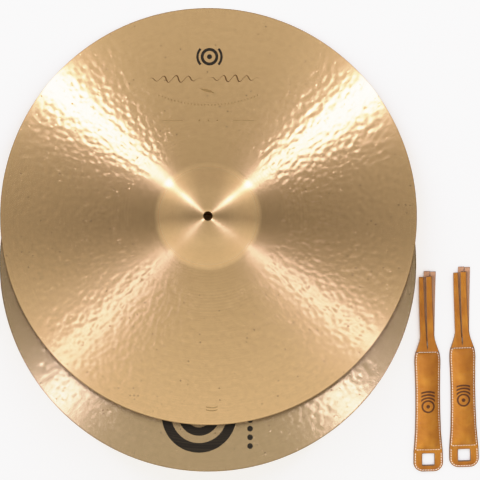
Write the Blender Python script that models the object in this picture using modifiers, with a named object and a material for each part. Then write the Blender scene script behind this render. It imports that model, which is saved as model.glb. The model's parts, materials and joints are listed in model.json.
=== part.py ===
"""A pair of 22-inch orchestral hand cymbals, laid down face to face, with their two leather straps beside them.

The rear cymbal lies on its bell with its hollow side up. The front cymbal lies on it, hollow side down and pushed
forward (+Y), so it leans on the floor with its front rim. Both share one tilt. Each strap lies flat on the floor:
a stitched, padded grip, a rounded tab with a square hole, and four tails, two in each of its two leather layers.
Metres, +Z up, with the origin on the floor under the middle of the whole set.
"""

import math

import bmesh
import bpy
from mathutils import Vector

# Cymbals
RIM_RADIUS = 0.2794
HOLE_RADIUS = 0.0062
BELL_RADIUS = 0.072
BELL_HEIGHT = 0.021
BOW_HEIGHT = 0.027
WALL_AT_HOLE = 0.0015
WALL_AT_RIM = 0.0009
BELL_STATIONS = 7
BOW_STATIONS = 8
TURNS_STEPS = 64
FRONT_SHIFT = Vector((0.0008, 0.0627))
GAP = 0.0003

# Strap: "along" runs from the tab's round end, at 0, to the tips of the tails
LEATHER = 0.0022
TAB_HALF_WIDTH = 0.0203
TAB_CORNER = 0.0125
TAB_FOLD_AT = 0.0274
TAB_FOLD_CLEARANCE = 0.0027
SQUARE_HOLE = 0.0168
SQUARE_HOLE_CENTRE = 0.0173
NECK_AT = 0.1885
NECK_CLEARANCE = 0.0014
LOWER_SEAM_AT = 0.0312
UPPER_SEAM_AT = 0.1690
SEAM_INSET = 0.0022
SEAM_END_ROOM = 0.0034
THREAD_RADIUS = 0.0005
BACK_MARGIN = 0.0004
PAD_CROWN = 0.0055
CROWN_RAMP_ACROSS = 0.0100
CROWN_RAMP_ALONG = 0.0130
PAD_FILL = 0.85
PAD_END_ROOM = 0.0070
PAD_SIDE_ROOM = 0.0060
PAD_CUTS = 5
# Half widths of the grip, from the fold at the tab to the neck, as (along, half width)
GRIP_HALF_WIDTHS = (
    (0.0274, 0.0201),
    (0.0430, 0.0187),
    (0.0570, 0.0177),
    (0.0850, 0.0169),
    (0.1140, 0.0167),
    (0.1420, 0.0172),
    (0.1560, 0.0178),
    (0.1620, 0.0174),
    (0.1675, 0.0165),
    (0.1730, 0.0149),
    (0.1790, 0.0127),
    (0.1830, 0.0113),
    (0.1885, 0.0101),
)
# Tails, as (layer, centre at the neck, centre at the tip, width at the neck, width at the tip, length)
TAILS = {
    "tail_front_left": ("front", -0.0055, -0.0079, 0.0090, 0.0066, 0.0859),
    "tail_front_right": ("front", 0.0045, 0.0026, 0.0098, 0.0084, 0.0869),
    "tail_back_left": ("back", -0.0046, 0.0003, 0.0092, 0.0082, 0.0932),
    "tail_back_right": ("back", 0.0052, 0.0086, 0.0094, 0.0078, 0.0925),
}
TAIL_TIP_CORNER = 0.0010

# Where each strap lies, from the rear cymbal's centre to the middle of the tab's round end, and its lean
STRAPS = {
    "left_strap": (Vector((0.3046, -0.3009)), math.radians(1.3)),
    "right_strap": (Vector((0.3543, -0.2946)), math.radians(1.9)),
}

FRONT_LAYER = LEATHER + GAP
STACK = 2 * LEATHER + GAP
THREAD_HEIGHT = STACK + GAP + THREAD_RADIUS
SEAM_ROOM = THREAD_RADIUS + GAP
GRIP_START = TAB_FOLD_AT + TAB_FOLD_CLEARANCE
GRIP_END = NECK_AT - NECK_CLEARANCE


def clear_scene():
    for obj in list(bpy.data.objects):
        bpy.data.objects.remove(obj, do_unlink=True)


def new_material(name, colour, roughness, metallic):
    material = bpy.data.materials.new(name)
    material.use_nodes = True
    shader = material.node_tree.nodes["Principled BSDF"]
    shader.inputs["Base Color"].default_value = (*colour, 1)
    shader.inputs["Roughness"].default_value = roughness
    shader.inputs["Metallic"].default_value = metallic
    material.diffuse_color = (*colour, 1)
    return material


def add_object(name, data, parent, material):
    obj = bpy.data.objects.new(name, data)
    data.materials.append(material)
    collection.objects.link(obj)
    obj.parent = parent
    return obj


def add_empty(name, parent, location, turn=0.0):
    empty = bpy.data.objects.new(name, None)
    collection.objects.link(empty)
    empty.parent = parent
    empty.location = location
    empty.rotation_euler.z = turn
    return empty


# Cymbals ---------------------------------------------------------------------------------------------------------


def hollow_rise(radius):
    """Height of the hollow side over the rim's plane: a shallow bow with the bell on top."""
    rise = BOW_HEIGHT * (1 - (radius / RIM_RADIUS) ** 2)
    if radius < BELL_RADIUS:
        rise += BELL_HEIGHT * (1 + math.cos(math.pi * (radius / BELL_RADIUS) ** 2)) / 2
    return rise


def outer_rise(radius):
    share = (radius - HOLE_RADIUS) / (RIM_RADIUS - HOLE_RADIUS)
    return hollow_rise(radius) + WALL_AT_HOLE + (WALL_AT_RIM - WALL_AT_HOLE) * share


def station_radii():
    bell = [HOLE_RADIUS + (BELL_RADIUS - HOLE_RADIUS) * i / BELL_STATIONS for i in range(BELL_STATIONS)]
    bow = [BELL_RADIUS + (RIM_RADIUS - BELL_RADIUS) * i / BOW_STATIONS for i in range(BOW_STATIONS + 1)]
    return bell + bow


def add_cymbal(name, parent, material):
    """A turned shell: down the outer side from the hole to the rim, then back up the hollow side."""
    radii = station_radii()
    section = [(r, 0, outer_rise(r)) for r in radii] + [(r, 0, hollow_rise(r)) for r in reversed(radii)]
    mesh = bpy.data.meshes.new(name)
    count = len(section)
    mesh.from_pydata(section, [(i, (i + 1) % count) for i in range(count)], [])
    cymbal = add_object(name, mesh, parent, material)
    screw = cymbal.modifiers.new("turn", "SCREW")
    screw.steps = screw.render_steps = TURNS_STEPS
    screw.use_merge_vertices = True
    screw.merge_threshold = 0.00001
    screw.use_smooth_shade = True
    return cymbal


def pair_tilt():
    """The slope of the floor against the rims' plane, when the rear bell and the front cymbal's rim both touch it."""
    front_rim = FRONT_SHIFT.y + RIM_RADIUS
    return math.atan(max((GAP + outer_rise(r)) / (front_rim - r) for r in station_radii() if r < BELL_RADIUS))


def add_pair(material):
    """Both cymbals on one tilted empty, whose XY plane is the plane where the two rims meet."""
    tilt = pair_tilt()
    height = (FRONT_SHIFT.y + RIM_RADIUS) * math.sin(tilt) - GAP / 2 * math.cos(tilt)
    pair = add_empty("pair", whole, (0, 0, height))
    pair.rotation_euler.x = -tilt
    front = add_cymbal("front_cymbal", pair, material)
    front.location = (*FRONT_SHIFT, GAP / 2)
    rear = add_cymbal("rear_cymbal", pair, material)
    rear.location = (0, 0, -GAP / 2)
    rear.rotation_euler.x = math.pi


# Straps ----------------------------------------------------------------------------------------------------------


def smooth_step(value):
    value = min(max(value, 0.0), 1.0)
    return value * value * (3 - 2 * value)


def grip_half_width(along):
    """Half the grip's width, in straight lines from one station to the next."""
    for (start, first), (end, second) in zip(GRIP_HALF_WIDTHS, GRIP_HALF_WIDTHS[1:]):
        if along <= end:
            return first + (second - first) * (along - start) / (end - start)
    return GRIP_HALF_WIDTHS[-1][1]


def crown(across, along):
    """How far the padding lifts the front leather. It is zero outside the seams."""
    inside_side = grip_half_width(along) - SEAM_INSET - SEAM_ROOM - abs(across)
    inside_end = min(along - LOWER_SEAM_AT, UPPER_SEAM_AT - along) - SEAM_ROOM
    return PAD_CROWN * smooth_step(inside_side / CROWN_RAMP_ACROSS) * smooth_step(inside_end / CROWN_RAMP_ALONG)


def corner_arc(centre, radius, start, steps=5):
    """A quarter turn about a corner's centre, from the start angle, anticlockwise."""
    turn = math.pi / 2 / steps
    return [
        (centre[0] + radius * math.cos(start + turn * i), centre[1] + radius * math.sin(start + turn * i))
        for i in range(steps + 1)
    ]


def add_flat_piece(name, rings, thickness, bottom, parent, material):
    """A flat sheet piece. The first ring is its outline and the rest are its holes."""
    curve = bpy.data.curves.new(name, "CURVE")
    curve.dimensions = "2D"
    curve.fill_mode = "BOTH"
    curve.extrude = thickness / 2
    for ring in rings:
        spline = curve.splines.new("POLY")
        spline.points.add(len(ring) - 1)
        for point, (x, y) in zip(spline.points, ring):
            point.co = (x, y, 0, 1)
        spline.use_cyclic_u = True
    piece = add_object(name, curve, parent, material)
    piece.location.z = bottom + thickness / 2
    return piece


def add_thread(name, route, parent, material):
    """One run of heavy sewing thread through the given points."""
    curve = bpy.data.curves.new(name, "CURVE")
    curve.dimensions = "3D"
    curve.bevel_depth = THREAD_RADIUS
    curve.bevel_resolution = 1
    curve.use_fill_caps = True
    spline = curve.splines.new("POLY")
    spline.points.add(len(route) - 1)
    for point, place in zip(spline.points, route):
        point.co = (*place, 1)
    return add_object(name, curve, parent, material)


def tab_outline(margin=0.0):
    """The tab from the fold down one side, round its two corners and up the other side, about the fold line."""
    half = TAB_HALF_WIDTH - margin
    fold_half = GRIP_HALF_WIDTHS[0][1] - margin
    bottom = margin - TAB_FOLD_AT
    corner = TAB_CORNER - margin
    left = corner_arc((-half + corner, bottom + corner), corner, math.pi)
    right = corner_arc((half - corner, bottom + corner), corner, math.pi * 1.5)
    return [(-fold_half, 0)] + left + right + [(fold_half, 0)]


def square_hole_ring():
    half = SQUARE_HOLE / 2
    middle = SQUARE_HOLE_CENTRE - TAB_FOLD_AT
    return [(-half, middle - half), (-half, middle + half), (half, middle + half), (half, middle - half)]


def add_tab(strap, hinge, leather, thread):
    """The tab's two leather layers, with the square hole, and the thread round its edge."""
    for layer, bottom in (("back", 0.0), ("front", FRONT_LAYER)):
        add_flat_piece(
            f"{strap}_tab_{layer}",
            [tab_outline(), square_hole_ring()],
            LEATHER,
            bottom - STACK / 2,
            hinge,
            leather,
        )
    route = tab_outline(SEAM_INSET)
    height = THREAD_HEIGHT - STACK / 2
    add_thread(f"{strap}_tab_seam", [(x, min(y, -SEAM_END_ROOM), height) for x, y in route], hinge, thread)


def add_grip_back(strap, parent, leather):
    """The flat back leather of the grip and its shoulders."""
    stations = [GRIP_START] + [a for a, _ in GRIP_HALF_WIDTHS if GRIP_START < a < GRIP_END] + [GRIP_END]
    right = [(grip_half_width(a) + BACK_MARGIN, a) for a in stations]
    left = [(-x, a) for x, a in reversed(right)]
    add_flat_piece(f"{strap}_grip_back", [right + left], LEATHER, 0.0, parent, leather)


def cover_rows():
    """Places along the grip where the cover's grid has a row: close together on the crown's two ramps."""
    low = LOWER_SEAM_AT + SEAM_ROOM
    high = UPPER_SEAM_AT - SEAM_ROOM
    ramp = [CROWN_RAMP_ALONG * i / 4 for i in range(5)]
    middle = [a for a, _ in GRIP_HALF_WIDTHS if low + CROWN_RAMP_ALONG < a < high - CROWN_RAMP_ALONG]
    shoulder = [a for a, _ in GRIP_HALF_WIDTHS if high < a < GRIP_END]
    return sorted([GRIP_START, GRIP_END] + [low + d for d in ramp] + middle + [high - d for d in ramp] + shoulder)


def cover_columns(along):
    """Places across the grip where the cover's grid has a column: the flat margins, then the crown."""
    half = grip_half_width(along)
    inner = half - SEAM_INSET - SEAM_ROOM
    crown_columns = [inner * math.sin(math.pi / 2 * i / 4) for i in range(-4, 5)]
    return [-half] + crown_columns + [half]


def add_grip_cover(strap, parent, leather):
    """The front leather, lifted by the padding: a grid shaped by the crown, thickened upwards."""
    rows = cover_rows()
    points = [(x, along, FRONT_LAYER + crown(x, along)) for along in rows for x in cover_columns(along)]
    width = len(cover_columns(GRIP_START))
    corners = [row * width + column for row in range(len(rows) - 1) for column in range(width - 1)]
    mesh = bpy.data.meshes.new(f"{strap}_grip_cover")
    mesh.from_pydata(points, [], [(c, c + 1, c + 1 + width, c + width) for c in corners])
    cover = add_object(f"{strap}_grip_cover", mesh, parent, leather)
    solidify = cover.modifiers.new("leather", "SOLIDIFY")
    solidify.thickness = LEATHER
    solidify.offset = 1
    solidify.use_even_offset = True


def add_pad(strap, parent, felt):
    """The felt filling under the crown, inside the seams."""
    middle = (LOWER_SEAM_AT + UPPER_SEAM_AT) / 2
    half_length = (UPPER_SEAM_AT - LOWER_SEAM_AT) / 2 - PAD_END_ROOM
    mesh = bpy.data.meshes.new(f"{strap}_pad")
    block = bmesh.new()
    bmesh.ops.create_cube(block, size=2)
    bmesh.ops.subdivide_edges(block, edges=block.edges[:], cuts=PAD_CUTS, use_grid_fill=True)
    for vertex in block.verts:
        along = middle + vertex.co.y * half_length
        across = vertex.co.x * (grip_half_width(along) - SEAM_INSET - PAD_SIDE_ROOM)
        thickness = PAD_FILL * crown(across, along) - GAP
        vertex.co = (across, along, FRONT_LAYER + thickness * (vertex.co.z + 1) / 2)
    block.to_mesh(mesh)
    block.free()
    add_object(f"{strap}_pad", mesh, parent, felt)


def add_grip_seams(strap, parent, thread):
    """Two side runs and two cross runs of thread, on the front leather's flat margin."""
    stations = [LOWER_SEAM_AT] + [a for a, _ in GRIP_HALF_WIDTHS if LOWER_SEAM_AT < a < UPPER_SEAM_AT]
    stations.append(UPPER_SEAM_AT)
    side = [(grip_half_width(a) - SEAM_INSET, a, THREAD_HEIGHT) for a in stations]
    add_thread(f"{strap}_side_seam_right", side, parent, thread)
    add_thread(f"{strap}_side_seam_left", [(-x, a, z) for x, a, z in side], parent, thread)
    clear = 2 * THREAD_RADIUS + GAP
    for label, along in (("lower", LOWER_SEAM_AT), ("upper", UPPER_SEAM_AT)):
        reach = grip_half_width(along) - SEAM_INSET - clear
        cross = [(-reach, along, THREAD_HEIGHT), (reach, along, THREAD_HEIGHT)]
        add_thread(f"{strap}_cross_seam_{label}", cross, parent, thread)


def add_tail(name, hinge, shape, leather):
    """One tail as a flat tapered strip from the neck, with small corners at its tip."""
    layer, root_x, tip_x, root_width, tip_width, length = shape
    corner = TAIL_TIP_CORNER
    right = tip_x + tip_width / 2
    left = tip_x - tip_width / 2
    outline = [(root_x - root_width / 2, 0), (root_x + root_width / 2, 0)]
    outline += corner_arc((right - corner, length - corner), corner, 0, steps=2)
    outline += corner_arc((left + corner, length - corner), corner, math.pi / 2, steps=2)
    top = -GAP if layer == "front" else -GAP - FRONT_LAYER
    add_flat_piece(name, [outline], LEATHER, top - LEATHER, hinge, leather)


def add_strap(strap, place, lean, leather, felt, thread):
    """One whole strap. Its tab and its tails hang on empties, on the lines where the leather bends.

    All four tails turn about one line just above the front leather, so they fold up and back over the grip.
    """
    base = add_empty(strap, whole, (*place, 0), lean)
    add_grip_back(strap, base, leather)
    add_grip_cover(strap, base, leather)
    add_pad(strap, base, felt)
    add_grip_seams(strap, base, thread)
    fold = add_empty(f"{strap}_tab_fold", base, (0, TAB_FOLD_AT, STACK / 2))
    add_tab(strap, fold, leather, thread)
    neck = add_empty(f"{strap}_neck", base, (0, NECK_AT, STACK + GAP))
    for name, shape in TAILS.items():
        add_tail(f"{strap}_{name}", neck, shape, leather)


# The whole set ---------------------------------------------------------------------------------------------------


def measured_box():
    """Lowest and highest corner of every solid, modifiers included."""
    bpy.context.view_layer.update()
    graph = bpy.context.evaluated_depsgraph_get()
    points = []
    for obj in collection.objects:
        if obj.type == "EMPTY":
            continue
        solid = obj.evaluated_get(graph)
        mesh = solid.to_mesh()
        points += [solid.matrix_world @ vertex.co for vertex in mesh.vertices]
        solid.to_mesh_clear()
    lowest = Vector([min(p[i] for p in points) for i in range(3)])
    highest = Vector([max(p[i] for p in points) for i in range(3)])
    return lowest, highest


def centre_on_floor():
    """Moves the whole set so that the origin is on the floor, under the middle of its box."""
    lowest, highest = measured_box()
    middle = (lowest + highest) / 2
    whole.location = (-middle.x, -middle.y, 0)
    bpy.context.view_layer.update()


clear_scene()
collection = bpy.data.collections.new("hand_cymbals")
bpy.context.scene.collection.children.link(collection)
whole = add_empty("hand_cymbals", None, (0, 0, 0))
bronze = new_material("bronze", (0.71, 0.50, 0.25), 0.28, 1.0)
tan_leather = new_material("tan_leather", (0.56, 0.27, 0.07), 0.50, 0.0)
wool_felt = new_material("wool_felt", (0.70, 0.67, 0.60), 0.95, 0.0)
white_thread = new_material("white_thread", (0.86, 0.80, 0.70), 0.75, 0.0)
add_pair(bronze)
for strap_name, (strap_place, strap_lean) in STRAPS.items():
    add_strap(strap_name, strap_place, strap_lean, tan_leather, wool_felt, white_thread)
centre_on_floor()
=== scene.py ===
"""The looks of a pair of 22-inch hand cymbals and their two leather straps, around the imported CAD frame.

The cymbals' centres and axis and the straps' own lines are worked out from the CAD nodes' boxes and the
joints. Metres, +Z up, in the frame's own coordinates.
"""

import json
import math

import bpy
import numpy as np
from mathutils import Matrix, Vector
from mathutils.geometry import delaunay_2d_cdt


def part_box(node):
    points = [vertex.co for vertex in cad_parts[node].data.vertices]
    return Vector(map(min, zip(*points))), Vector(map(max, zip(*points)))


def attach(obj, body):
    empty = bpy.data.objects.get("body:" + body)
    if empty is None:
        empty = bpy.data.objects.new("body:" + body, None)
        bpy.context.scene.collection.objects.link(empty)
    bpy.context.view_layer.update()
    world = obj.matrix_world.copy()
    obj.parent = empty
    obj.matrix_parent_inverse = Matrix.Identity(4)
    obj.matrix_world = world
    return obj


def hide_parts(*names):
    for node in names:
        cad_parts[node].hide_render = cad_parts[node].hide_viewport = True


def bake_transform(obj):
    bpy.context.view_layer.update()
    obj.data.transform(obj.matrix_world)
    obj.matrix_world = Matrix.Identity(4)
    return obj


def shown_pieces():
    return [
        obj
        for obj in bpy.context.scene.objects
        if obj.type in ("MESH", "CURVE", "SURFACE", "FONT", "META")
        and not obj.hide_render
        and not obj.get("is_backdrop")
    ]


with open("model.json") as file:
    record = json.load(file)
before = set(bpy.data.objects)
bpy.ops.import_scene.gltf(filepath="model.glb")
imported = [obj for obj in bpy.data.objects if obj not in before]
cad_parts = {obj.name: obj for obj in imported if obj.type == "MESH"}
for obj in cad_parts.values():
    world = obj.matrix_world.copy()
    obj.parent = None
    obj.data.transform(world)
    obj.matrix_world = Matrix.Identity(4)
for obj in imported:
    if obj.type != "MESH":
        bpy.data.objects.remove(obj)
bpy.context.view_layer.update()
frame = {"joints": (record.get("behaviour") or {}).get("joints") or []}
joints = {joint["name"]: joint for joint in frame["joints"]}

# Camera, over the front cymbal and looking along its axis
CAMERA_DISTANCE = 2.6
VIEW_WIDTH = 0.6433
AIM_RIGHT = 0.0422
AIM_DOWN = 0.0315
SENSOR = 36.0

# Light
KEY_COLOUR = (1.0, 0.97, 1.32)
LOW_COLOUR = (1.0, 0.96, 1.48)
STRIP_DISTANCE = 2.6
# Soft boxes, as (name, azimuth, lean, width, length, power, colour)
STRIP_LIGHTS = (
    ("key_right", 40, 38, 0.21, 2.2, 11.0, KEY_COLOUR),
    ("key_left", 140, 38, 0.21, 2.2, 11.0, KEY_COLOUR),
    ("low_left", 222, 25, 0.14, 1.6, 1.82, LOW_COLOUR),
    ("low_right", 323, 25, 0.14, 1.6, 1.82, LOW_COLOUR),
)
SIDE_POWER = 21.0
SIDE_SIZE = 0.5
SIDE_TARGET = Vector((0.02, 0.10, 0))
SIDE_DIRECTION = Vector((-0.94, 0.12, 0.30))
SIDE_DISTANCE = 1.2
WORLD_COLOUR = (1.0, 0.98, 0.93)
WORLD_BASE = 0.11
# Brightness by direction, as (from, to, brightness at from, brightness at to)
WORLD_SIDES = (0.24, 0.50, 0.0, 0.52)
WORLD_SIDES_IN_FRONT = (-0.32, -0.14, 0.15, 1.0)
WORLD_SIDES_BEHIND = (0.10, 0.30, 1.0, 0.72)
WORLD_FRONT = (-0.04, -0.40, 0.0, 1.10)
WORLD_BACK = (-0.05, 0.50, 0.0, 0.60)
WORLD_HIGH_BACK = (0.30, 0.45, 0.0, 0.45)
WORLD_BEHIND = (0.55, 0.75, 0.0, -0.60)
FLOOR_SIZE = 12
FLOOR_GLOW = 0.23
SHOULDER_WHITE = 4.0
SHOULDER = ((0.6, 0.6), (0.85, 0.81), (1.1, 0.91), (1.6, 0.965), (2.6, 0.99))

# Cymbals, as in the CAD
HOLE_RADIUS = 0.0062
BELL_RADIUS = 0.072
BELL_HEIGHT = 0.021
BOW_HEIGHT = 0.027
WALL_AT_HOLE = 0.0015
WALL_AT_RIM = 0.0009

# Cymbal meshes and hammering
TURNS = 720
BELL_RINGS = 13
BOW_RINGS = 99
PLAIN_BELL_RINGS = 5
PLAIN_BOW_RINGS = 8
HAMMER_PITCH = 0.0072
HAMMER_DEPTH = 0.00011
HAMMER_RADIUS = 0.0048
HAMMER_START = 0.080
HAMMER_FULL = 0.115
HAMMER_FADE = 0.255
HAMMER_END = 0.284
# How dark the painted shade on the bell's outer part is
BELL_PAINTED_SHADE = 0.28
BELL_ROUGHNESS = 0.33
BOW_ROUGHNESS = 0.26
# How dark the painted reflection along the rim's outer edge is
RIM_PAINTED_SHADE = 0.55
FLECK_TONE = 0.85
MOTTLE_TONE = 0.13
TOOL_PITCH = 0.0042
TOOL_DEPTH = 0.000022
PIT_PITCH = 0.0052
PIT_DEPTH = 0.00007
FRONT_SEED = 7
REAR_SEED = 11

# Printed marks
INK = 0.00006
PRINT_SPACING = 0.0015
EMBLEM_AT = (0.0015, 0.2130)
EMBLEM_RING = (0.0098, 0.0040)
EMBLEM_DOT = 0.0034
EMBLEM_ARCS = (0.0160, 42, 0.0032)
RIPPLES = ((-0.081, -0.008, 0.1830, 0.0165), (0.000, 0.068, 0.1838, 0.0155))
RIPPLE_SWING = 0.0046
RIPPLE_WIDTH = 0.0020
DASH_ARC = 0.172
DASH_HEIGHT = 0.0032
LINE_AT = 0.1275
TARGET_AT = (-0.0120, 0.2040)
TARGET_RINGS = ((0.0440, 0.0128), (0.0225, 0.0110))
TARGET_DOT = 0.0090

# Straps, as in the CAD: "along" runs from the tab's round end, at 0, to the tips of the tails
LEATHER = 0.0022
FRONT_LAYER = 0.0025
STACK = 0.0047
TAB_HALF_WIDTH = 0.0203
TAB_CORNER = 0.0125
TAB_FOLD_AT = 0.0274
SQUARE_HOLE = 0.0168
SQUARE_HOLE_CENTRE = 0.0173
NECK_AT = 0.1885
LOWER_SEAM_AT = 0.0312
UPPER_SEAM_AT = 0.1690
SEAM_INSET = 0.0022
BACK_MARGIN = 0.0004
PAD_CROWN = 0.0055
GRIP_HALF_WIDTHS = (
    (0.0274, 0.0201),
    (0.0430, 0.0187),
    (0.0570, 0.0177),
    (0.0850, 0.0169),
    (0.1140, 0.0167),
    (0.1420, 0.0172),
    (0.1560, 0.0178),
    (0.1620, 0.0174),
    (0.1675, 0.0165),
    (0.1730, 0.0149),
    (0.1790, 0.0127),
    (0.1830, 0.0113),
    (0.1885, 0.0101),
)
# Tails, as (layer, centre at the neck, centre at the tip, width at the neck, width at the tip, length)
TAILS = {
    "tail_front_left": ("front", -0.0055, -0.0079, 0.0090, 0.0066, 0.0859),
    "tail_front_right": ("front", 0.0045, 0.0026, 0.0098, 0.0084, 0.0869),
    "tail_back_left": ("back", -0.0046, 0.0003, 0.0092, 0.0082, 0.0932),
    "tail_back_right": ("back", 0.0052, 0.0086, 0.0094, 0.0078, 0.0925),
}

# Leatherwork
UNDER_EDGE = 0.0003
HOLE_CORNER = 0.0012
SEAM_GROOVE = 0.00045
STITCH_PITCH = 0.0036
STITCH_SHARE = 0.80
STITCH_RADIUS = 0.00048
# A stitch's thickness and how deep it lies from end to end, both as shares of its radius
STITCH_ALONG = (-1, -0.86, -0.5, 0, 0.5, 0.86, 1)
STITCH_GIRTH = (0.35, 0.75, 1, 1, 1, 0.75, 0.35)
STITCH_SINK = (1.3, 0.7, 0.05, -0.15, 0.05, 0.7, 1.3)
STITCH_SIDES = 8
MARK_DEPTH = 0.00050
MARK_STROKE = 0.0012
MARK_RING = 0.0080
MARK_DOT = 0.0026
MARK_ARCS = (0.0122, 0.0165, 0.0208)
MARK_HALF_WIDTH = 0.0095
SLIT_AT = 0.1745
SLIT_GAP = 0.0006
TIP_LIFT = 0.0012
PAD_COLUMNS = 25
PAD_ROWS = 93
PAD_SCALE = 10.0
PAD_CLOTH = {
    "vertex_group_mass": "sewn",
    "quality": 8,
    "mass": 0.4,
    "tension_stiffness": 40,
    "compression_stiffness": 40,
    "shear_stiffness": 20,
    "bending_stiffness": 40,
    "use_pressure": True,
    "uniform_pressure_force": 40.0,
    "shrink_min": -0.06,
}
PAD_FRAMES = 30
PAD_GIVE = 0.38
PAD_END = 0.013
MARKS_AT = {"left": 0.0935, "right": 0.0965}


# Frame

UP = Vector((0, 0, 1))
RIGHT = Vector((1, 0, 0))
AXIS = Vector(joints["front_cymbal_lift"]["axis"]).normalized()
ACROSS = AXIS.cross(RIGHT).normalized()


def axes_at(origin, x, y, z):
    """The frame with its origin at a place and its axes along three directions."""
    return Matrix.Translation(origin) @ Matrix((x, y, z)).transposed().to_4x4()


def linked(name, data):
    """A new object in the scene."""
    obj = bpy.data.objects.new(name, data)
    bpy.context.scene.collection.objects.link(obj)
    return obj


def rim_centre(node, uphill):
    """The centre and radius of a cymbal's rim circle, whose plane faces up or down the slope."""
    low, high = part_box(node)
    radius = (high.x - low.x) / 2
    middle = (high.x + low.x) / 2
    wall = WALL_AT_RIM * AXIS.y
    if uphill:
        return Vector((middle, low.y + wall, high.z)) + ACROSS * radius, radius
    return Vector((middle, high.y - wall, low.z)) - ACROSS * radius, radius


front_centre, RIM_RADIUS = rim_centre("front_cymbal", uphill=False)
rear_centre, _ = rim_centre("rear_cymbal", uphill=True)
FRONT_PLACE = axes_at(front_centre, RIGHT, ACROSS, AXIS)
REAR_PLACE = axes_at(rear_centre, RIGHT, -ACROSS, -AXIS)


# Camera, light and floor


def aim(obj, place, target, up):
    """Puts a camera or a light at a place, looking at the target, with its +Y near the given direction."""
    back = (place - target).normalized()
    side = up.cross(back).normalized()
    obj.matrix_world = axes_at(place, side, back.cross(side), back)


def add_camera():
    data = bpy.data.cameras.new("camera")
    data.sensor_width = SENSOR
    data.lens = SENSOR * CAMERA_DISTANCE / VIEW_WIDTH
    data.clip_end = 50
    camera = linked("camera", data)
    target = front_centre + RIGHT * AIM_RIGHT - ACROSS * AIM_DOWN
    aim(camera, target + AXIS * CAMERA_DISTANCE, target, ACROSS)
    bpy.context.scene.camera = camera


def add_strip_light(name, azimuth, lean, width, length, power, colour):
    """A long soft box that points at the front cymbal, with its length along the radius that it lies over.

    Azimuth is anticlockwise from +X and lean is the angle from the cymbals' axis, both in degrees.
    """
    data = bpy.data.lights.new(name, "AREA")
    data.shape = "RECTANGLE"
    data.size = width
    data.size_y = length
    data.energy = power
    data.color = colour
    light = linked(name, data)
    light.visible_camera = False
    flat = RIGHT * math.cos(math.radians(azimuth)) + ACROSS * math.sin(math.radians(azimuth))
    direction = AXIS * math.cos(math.radians(lean)) + flat * math.sin(math.radians(lean))
    aim(light, front_centre + direction * STRIP_DISTANCE, front_centre, AXIS)


def add_side_light(pieces):
    """A soft light from the straps' left, which rounds their padding. It lights the straps only."""
    data = bpy.data.lights.new("strap_side", "AREA")
    data.size = SIDE_SIZE
    data.energy = SIDE_POWER
    light = linked("strap_side", data)
    light.visible_camera = False
    target = strap_place("left") @ SIDE_TARGET
    aim(light, target + SIDE_DIRECTION.normalized() * SIDE_DISTANCE, target, UP)
    lit = bpy.data.collections.new("lit_by_strap_side")
    for piece in pieces:
        lit.objects.link(piece)
    light.light_linking.receiver_collection = lit
    light.light_linking.blocker_collection = lit


def add_world():
    """A pale studio, by direction in the cymbals' own axes: lightest in front and dim overhead."""
    world = bpy.data.worlds.new("studio")
    bpy.context.scene.world = world
    world.use_nodes = True
    shade = Shade.over(world.node_tree)
    place = shade.node("TexCoord").outputs["Generated"]
    right = shade.dot(place, RIGHT)
    across = shade.dot(place, ACROSS)
    sides = shade.span(shade.math("ABSOLUTE", right), *WORLD_SIDES, smooth=True)
    sides = shade.times(sides, shade.span(across, *WORLD_SIDES_IN_FRONT))
    sides = shade.times(sides, shade.span(across, *WORLD_SIDES_BEHIND))
    front = shade.span(across, *WORLD_FRONT, smooth=True)
    back = shade.span(across, *WORLD_BACK, smooth=True)
    high_back = shade.span(across, *WORLD_HIGH_BACK, smooth=True)
    behind = shade.span(across, *WORLD_BEHIND, smooth=True)
    glow = shade.plus(shade.plus(sides, front), shade.plus(back, WORLD_BASE))
    glow = shade.plus(glow, shade.plus(high_back, behind))
    background = world.node_tree.nodes["Background"]
    background.inputs["Color"].default_value = (*WORLD_COLOUR, 1)
    shade.feed(background.inputs["Strength"], glow)


def add_floor():
    bpy.ops.mesh.primitive_plane_add(size=FLOOR_SIZE, location=(0, 0, 0))
    floor = bpy.context.object
    floor.name = "floor"
    floor.data.materials.append(floor_material())
    floor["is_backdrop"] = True


def set_view():
    """Plain colours, with a soft shoulder that keeps the brightest reflections from cutting off."""
    view = bpy.context.scene.view_settings
    view.view_transform = "Standard"
    view.look = "None"
    view.use_curve_mapping = True
    curves = view.curve_mapping
    curves.use_clip = False
    curves.white_level = (SHOULDER_WHITE,) * 3
    curve = curves.curves[3]
    for light, shown in SHOULDER:
        curve.points.new(light / SHOULDER_WHITE, shown)
    curve.points[-1].location = (1, 1)
    curves.update()


# Materials


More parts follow.
